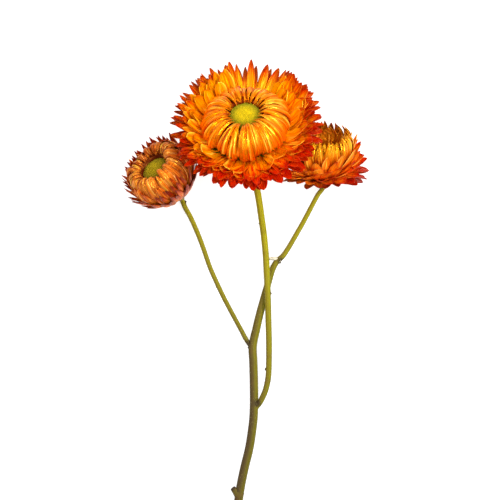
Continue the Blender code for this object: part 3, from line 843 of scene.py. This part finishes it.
LEFT_DRESS = Dress(
    spreading=Paper(
        "copper_bract", root=srgb(226, 118, 16), body=srgb(220, 88, 6), gilt=srgb(250, 160, 56),
        ripe=srgb(204, 52, 4), tip=srgb(180, 26, 6), rim=srgb(250, 190, 120), shade=srgb(170, 76, 44),
        inside=srgb(80, 20, 4), first_red=0.4, last_red=1.0, pull=0.1, edged=0.1, gleam=0.5, deep=0.0,
        base=0.7, metallic=0.6,
    ),
    curled=Paper(
        "copper_gold_bract", root=srgb(216, 98, 10), body=srgb(240, 126, 12), gilt=srgb(250, 176, 66),
        ripe=srgb(140, 34, 4), tip=srgb(120, 26, 4), rim=srgb(255, 200, 110), shade=srgb(170, 66, 26),
        inside=srgb(84, 20, 4), first_red=1.2, last_red=1.0, pull=0.5, edged=-0.4, gleam=0.3, deep=0.7,
        base=0.0, metallic=0.7,
    ),
    florets=Florets("olive_florets", srgb(172, 146, 0), srgb(130, 112, 0), srgb(90, 74, 0)),
    slots=("left_outer_bract", "left_inner_bract", "side_disc"),
    seed=21,
)
RIGHT_DRESS = Dress(
    spreading=Paper(
        "amber_bract", root=srgb(250, 150, 30), body=srgb(255, 146, 18), gilt=srgb(255, 206, 60),
        ripe=srgb(255, 130, 0), tip=srgb(206, 14, 2), rim=srgb(255, 206, 100), shade=srgb(206, 100, 46),
        inside=srgb(84, 12, 10), first_red=0.86, last_red=1.3, pull=0.5, edged=0.1, gleam=0.4, deep=0.0,
        base=0.75, metallic=0.5,
    ),
    curled=Paper(
        "honey_bract", root=srgb(236, 120, 2), body=srgb(255, 170, 6), gilt=srgb(255, 218, 50),
        ripe=srgb(206, 86, 8), tip=srgb(170, 36, 6), rim=srgb(255, 222, 110), shade=srgb(190, 84, 20),
        inside=srgb(170, 84, 4), first_red=1.4, last_red=1.2, pull=0.5, edged=0.7, gleam=-0.1, deep=0.3,
        base=0.0, metallic=0.8,
    ),
    florets=Florets("brown_gold_florets", srgb(190, 136, 0), srgb(150, 96, 4), srgb(90, 50, 4)),
    slots=("right_outer_bract", "right_inner_bract", "side_disc"),
    seed=31,
)


def flower_head(head, dress, neighbours):
    """Makes the bracts and the disc of one head. Returns the surfaces that the next head must clear."""
    place = frame_of(head)
    outer = Shape()
    turned(outer, place, head.core)
    bracts(outer, head, head.outer, neighbours, dress.seed)
    inner = Shape()
    turned(inner, place, head.lining)
    bracts(inner, head, head.inner, neighbours, dress.seed + 1)
    if head.fringe:
        scales, green = head.fringe
        bracts(inner, head, scales, neighbours, dress.seed + 3, green)
    finish = papery(dress.spreading)
    node = head.name + "_outer_bracts"
    thin_sheets(outer.finished(head.name + "_spread_bracts", finish, node))
    finish = papery(dress.curled)
    node = head.name + "_inner_bracts"
    thin_sheets(inner.finished(head.name + "_curled_bracts", finish, node))
    florets(head, floret_finish(dress.florets), dress.seed + 2)
    return [surface_of(shape.points, shape.faces) for shape in (outer, inner)]


# Stems

# The stems' middle lines, in the same layout as the solids' own.
MAIN_STEM_ROUTE = (
    (-4.8, -91.58, 1.6), (-4.2, -83.0, 1.75), (-3.5, -76.0, 2.2), (-2.4, -69.5, 2.7), (-1.1, -63.5, 3.1),
    (0.4, -57.4, 3.6), (1.4, -51.3, 4.1), (2.1, -45.2, 4.5), (2.3, -39.1, 4.9), (2.2, -31.0, 5.2),
    (2.0, -23.9, 5.5), (1.8, -18.0, 5.7), (3.1, -11.8, 5.9), (4.2, -7.0, 6.0), (5.5, -2.0, 6.0),
    (6.8, 2.7, 6.0), (8.0, 7.2, 6.0), (9.3, 11.2, 6.1), (11.0, 14.2, 6.2), (13.3, 16.3, 6.4),
    (15.4, 19.4, 6.4), (18.4, 24.5, 6.5), (21.4, 29.8, 6.5), (24.4, 35.5, 6.4), (26.7, 39.7, 6.4),
)
MAIN_STEM_RADII = ((0, 1.72), (0.42, 1.65), (0.55, 1.5), (0.62, 1.3), (0.7, 1.05), (0.74, 1.0), (1, 0.84))
MAIN_SHOOT_ROUTE = (
    (1.9, -47.4, 4.4), (2.4, -42.6, 4.8), (4.3, -39.9, 5.6), (5.9, -36.9, 6.3), (7.0, -33.8, 6.9),
    (7.8, -29.3, 7.5), (8.0, -23.2, 8.0), (8.0, -15.6, 8.5), (7.8, -8.0, 8.9), (7.6, -0.4, 9.2),
    (7.4, 5.3, 9.4),
    (7.1, 11.0, 9.5), (6.8, 16.7, 9.6), (6.2, 23.2, 9.7), (5.3, 30.0, 9.8), (4.3, 36.9, 9.9),
    (3.3, 42.6, 10.0), (2.0, 50.0, 10.6),
)
MAIN_SHOOT_RADII = ((0, 0.7), (0.05, 1.0), (0.1, 1.15), (0.6, 1.25), (1, 1.4))
LEFT_SHOOT_ROUTE = (
    (1.4, -18.6, 5.5), (-0.8, -15.4, 5.4), (-2.7, -11.8, 5.3), (-6.0, -5.7, 5.1), (-9.2, 0.4, 4.8),
    (-12.1, 6.5, 4.5), (-14.7, 12.5, 4.2), (-16.8, 18.6, 3.8), (-19.1, 24.7, 3.4), (-21.8, 30.8, 2.9),
    (-24.1, 35.0, 2.8),
)
LEFT_SHOOT_RADII = ((0, 0.9), (0.5, 0.92), (1, 1.0))
NECK_DEPTHS = (2.6, 1.2, 0.0)  # how far under a head's origin the points of its neck lie, in millimetres
ROUTE_STEP = 0.004  # how far to each side of a point its direction is measured, as a share of the route
RIB_TWIST = 3  # how far the ribs wind round from a stem's start to its end, in radians
DARK_NODES = ((3.5, -39.8, 6.3), (0.2, -17.0, 5.6), (12.4, 14.6, 6.6))
DARK_NODE_REACH = 2.4 * MM
DRY_STUB_ROUTE = ((12.4, 14.6, 6.3), (10.4, 15.3, 6.4), (7.8, 15.4, 6.8))
DRY_STUB_RADII = ((0, 0.95), (0.5, 0.85), (1, 0.6))

HAIR_SEED = 41
HAIRS_A_STEM = 900
HAIR_RADIUS = 0.035 * MM
HAIR_SHARES = (0.01, 0.97)
HAIR_ANGLES = (-0.3, math.pi + 0.3)
HAIR_LEANS = (-0.2, 0.7)
HAIR_LENGTHS = (0.35, 0.75)
HAIR_FACES = ((0, 1, 3), (1, 2, 3), (2, 0, 3), (2, 1, 0))

# Leaf scars: the stem, the share along it, the side in degrees, and the radius and length in millimetres.
SCARS = (
    ("main_stem", 0.082, 178, 1.7, 3.0), ("main_stem", 0.4, 178, 0.9, 1.3), ("main_stem", 0.67, 5, 0.8, 1.1),
    ("main_shoot", 0.268, 175, 0.8, 1.2), ("main_shoot", 0.467, 5, 0.8, 1.1),
    ("main_shoot", 0.69, 178, 0.7, 1.0),
    ("left_shoot", 0.36, 200, 0.5, 0.8), ("left_shoot", 0.8, 10, 0.7, 1.1),
)
# A scar's profile as shares of its length and of its radius.
SCAR_PROFILE = ((-0.6, 1.15), (0.0, 1.0), (0.6, 0.72), (0.95, 0.6), (1.0, 0.5), (0.9, 0.35), (0.86, 0.02))
SCAR_DARK_FROM = 0.9
SCAR_SIDES = 14

# The stem is green on its lit right side and brown on its left, a brown that is partly its own and partly
# painted shade, and both darken with age.
YOUNG_GREEN = srgb(178, 170, 0)
GROWN_GREEN = srgb(118, 112, 4)
OLD_GREEN = srgb(92, 84, 14)
YOUNG_BROWN = srgb(146, 132, 0)
OLD_BROWN = srgb(70, 54, 28)
GROOVE_SHADE = srgb(74, 62, 6)
BLOTCH_COLOUR = srgb(96, 62, 34)
FLECK_COLOUR = srgb(190, 180, 80)
NODE_COLOUR = srgb(52, 38, 24)
STRAW_COLOUR = srgb(214, 208, 190)
SKIN_DEPTH = 0.12 * MM


def neck(head):
    place = frame_of(head)
    return tuple(place @ Vector((0, 0, -depth * MM)) / MM + LAYOUT_MIDDLE for depth in NECK_DEPTHS)


def sides_of(ahead):
    """The level and the upper direction at right angles to a stem that runs ahead."""
    level = ahead.cross(UP).normalized()
    return level, level.cross(ahead)


def rib_wave(ribs, angle, phase, share):
    """1 on the ridge of a rib and -1 between two of them."""
    return math.cos(ribs * angle + phase + share * RIB_TWIST)


def node_spot(point):
    """How close a point is to one of the dark nodes of the stem, 1 at its middle."""
    return max(0.0, 1 - min((point - placed(node)).length for node in DARK_NODES) / DARK_NODE_REACH)


def tube(shape, route, radii, spacing, age, sides=24, ribs=9, rib_depth=0.05, phase=0.0, dry=0.0):
    """A tapering, ribbed stem with closed ends. Age is how old it looks at its start and at its end."""
    points = [placed(point) for point in route]
    length = sum((a - b).length for a, b in zip(points, points[1:])) / MM
    count = max(4, round(length / spacing))
    shares = [step / count for step in range(count + 1)]
    angles = [TURN * side / sides for side in range(sides)]
    rings = []
    for share in shares:
        centre = smooth_point(points, share)
        before = smooth_point(points, max(share - ROUTE_STEP, 0))
        ahead = (smooth_point(points, min(share + ROUTE_STEP, 1)) - before).normalized()
        level, above = sides_of(ahead)
        radius = listed_value(radii, share) * MM
        ring = []
        for angle in angles:
            reach = radius * (1 - rib_depth + rib_depth * rib_wave(ribs, angle, phase, share))
            point = centre + (level * math.cos(angle) + above * math.sin(angle)) * reach
            point.z = max(point.z, 0.0)
            ring.append(point)
        rings.append(ring)
    start = shape.grid(
        rings,
        closed=True,
        rib=[rib_wave(ribs, angle, phase, share) for share in shares for angle in angles],
        age=[between(*age, share) for share in shares for _ in angles],
        dry=dry,
        flank=[math.cos(angle) for _ in shares for angle in angles],
        spot=[node_spot(point) for ring in rings for point in ring],
    )
    last = start + (len(rings) - 1) * sides
    shape.faces.append(list(range(start, start + sides))[::-1])
    shape.faces.append(list(range(last, last + sides)))


def stem_finish():
    finish = Finish("stem_skin", specular_ior_level=0.15)
    rib = finish.read("rib")
    age = finish.read("age")
    dry = finish.read("dry")
    flank = finish.read("flank")
    place = finish.place()
    blotch = finish.noise(place, 180.0, 4.0, 0.6)
    fleck = finish.noise(place, 1100.0, 3.0, 0.6)
    green = finish.mix(age.step(0.0, 0.5), YOUNG_GREEN, GROWN_GREEN)
    green = finish.mix(age.step(0.5, 1.0), green, OLD_GREEN)
    brown = finish.mix(age.step(0.0, 0.8), YOUNG_BROWN, OLD_BROWN)
    # Browner towards the left: the stem's own brown and painted shade on that side
    colour = finish.mix((flank + blotch * 0.8 - 0.4 - age * 0.35).step(-0.7, 0.6), brown, green)
    # Painted shade in the grooves between the ribs
    colour = finish.mix((rib * -0.5 + 0.5).step(0.3, 1.0) * 0.4, colour, GROOVE_SHADE)
    colour = finish.mix(blotch.step(0.52, 0.75) * 0.4, colour, BLOTCH_COLOUR)
    colour = finish.mix(fleck.step(0.62, 0.75) * 0.2, colour, FLECK_COLOUR)
    colour = finish.mix(finish.read("spot").step(0.1, 0.7) * 0.85, colour, NODE_COLOUR)
    colour = finish.mix(dry, colour, STRAW_COLOUR)
    relief = finish.relief(fleck * 0.5 + rib * 0.1, SKIN_DEPTH)
    return finish.shade(base_color=colour, roughness=0.55 + blotch * 0.2, normal=relief)


def stem():
    shape = Shape()
    main_stem = MAIN_STEM_ROUTE + neck(RIGHT)
    main_shoot = MAIN_SHOOT_ROUTE + neck(MAIN)
    left_shoot = LEFT_SHOOT_ROUTE + neck(LEFT)
    tube(shape, main_stem, MAIN_STEM_RADII, 0.9, (1.0, 0.1))
    tube(shape, main_shoot, MAIN_SHOOT_RADII, 0.9, (0.6, 0.0), phase=1.0)
    tube(shape, left_shoot, LEFT_SHOOT_RADII, 0.9, (0.55, 0.15), phase=2.0)
    tube(shape, DRY_STUB_ROUTE, DRY_STUB_RADII, 0.5, (0.3, 0.3), sides=14, ribs=5, rib_depth=0.12, dry=0.8)
    stems = {
        "main_stem": ([placed(point) for point in main_stem], MAIN_STEM_RADII),
        "main_shoot": ([placed(point) for point in main_shoot], MAIN_SHOOT_RADII),
        "left_shoot": ([placed(point) for point in left_shoot], LEFT_SHOOT_RADII),
    }
    for name, share, side, radius, length in SCARS:
        leaf_scar(shape, stems[name], share, side, radius, length)
    chance = random.Random(HAIR_SEED)
    for points, radii in stems.values():
        hairs(shape, points, radii, chance)
    shape.finished("ribbed_stem", stem_finish(), "stem")


def hairs(shape, points, radii, chance):
    """Short stiff hairs, as closed three-sided spikes."""
    for _ in range(HAIRS_A_STEM):
        share = chance.uniform(*HAIR_SHARES)
        root = smooth_point(points, share)
        ahead = (smooth_point(points, share + 0.01) - root).normalized()
        level, above = sides_of(ahead)
        angle = chance.uniform(*HAIR_ANGLES)
        outward = level * math.cos(angle) + above * math.sin(angle)
        root += outward * listed_value(radii, share) * 0.9 * MM
        tip = root + (outward + ahead * chance.uniform(*HAIR_LEANS)) * chance.uniform(*HAIR_LENGTHS) * MM
        if min(root.z, tip.z) < 0:
            continue
        corners = [
            root + (ahead * math.cos(a) + outward.cross(ahead) * math.sin(a)) * HAIR_RADIUS
            for a in (0, TURN / 3, 2 * TURN / 3)
        ]
        shape.add(corners + [tip], HAIR_FACES, rib=1.0, age=0.2, dry=0.3, flank=0.0, spot=0.0)


def leaf_scar(shape, stem_line, share, side, radius, length):
    """The stub of a dropped leaf: a short cup with a sunken end and a dark rim."""
    points, radii = stem_line
    centre = smooth_point(points, share)
    ahead = (smooth_point(points, share + 0.01) - centre).normalized()
    level, above = sides_of(ahead)
    angle = math.radians(side)
    outward = level * math.cos(angle) + above * math.sin(angle)
    direction = (outward + ahead * 0.8).normalized()
    seat = centre + outward * listed_value(radii, share) * 0.4 * MM
    across = direction.orthogonal().normalized()
    other = direction.cross(across)
    angles = [TURN * step / SCAR_SIDES for step in range(SCAR_SIDES)]
    rings = []
    for reach, width in SCAR_PROFILE:
        middle = seat + direction * length * reach * MM
        rings.append([
            middle + (across * math.cos(a) + other * math.sin(a)) * radius * width * MM
            for a in angles
        ])
    shape.grid(
        rings,
        closed=True,
        rib=[math.cos(5 * step) for _ in rings for step in range(SCAR_SIDES)],
        age=[0.6 if reach < SCAR_DARK_FROM else 1.0 for reach, _ in SCAR_PROFILE for _ in angles],
        dry=0.0,
        flank=-0.5,
        spot=[0.0 if reach < SCAR_DARK_FROM else 0.8 for reach, _ in SCAR_PROFILE for _ in angles],
    )


def table_top():
    half = TABLE_HALF_SIDE
    mesh = bpy.data.meshes.new("table_top")
    corners = [(-half, -half, 0), (half, -half, 0), (half, half, 0), (-half, half, 0)]
    mesh.from_pydata(corners, [], [(0, 1, 2, 3)])
    finish = Finish("pale_table", specular_ior_level=0.2, emission_strength=TABLE_GLOW)
    grain = finish.noise(finish.place(), 40.0, 2.0)
    mesh.materials.append(finish.shade(
        base_color=finish.mix(grain, grey(0.42), grey(0.4)),
        roughness=0.85,
        emission_color=grey(1),
    ))
    obj = bpy.data.objects.new("table_top", mesh)
    bpy.context.scene.collection.objects.link(obj)
    obj.location.z = -TABLE_DROP


def main():
    look_down()
    studio()
    table_top()
    neighbours = []
    for head, dress in ((MAIN, MAIN_DRESS), (LEFT, LEFT_DRESS), (RIGHT, RIGHT_DRESS)):
        neighbours += flower_head(head, dress, neighbours)
    stem()


main()
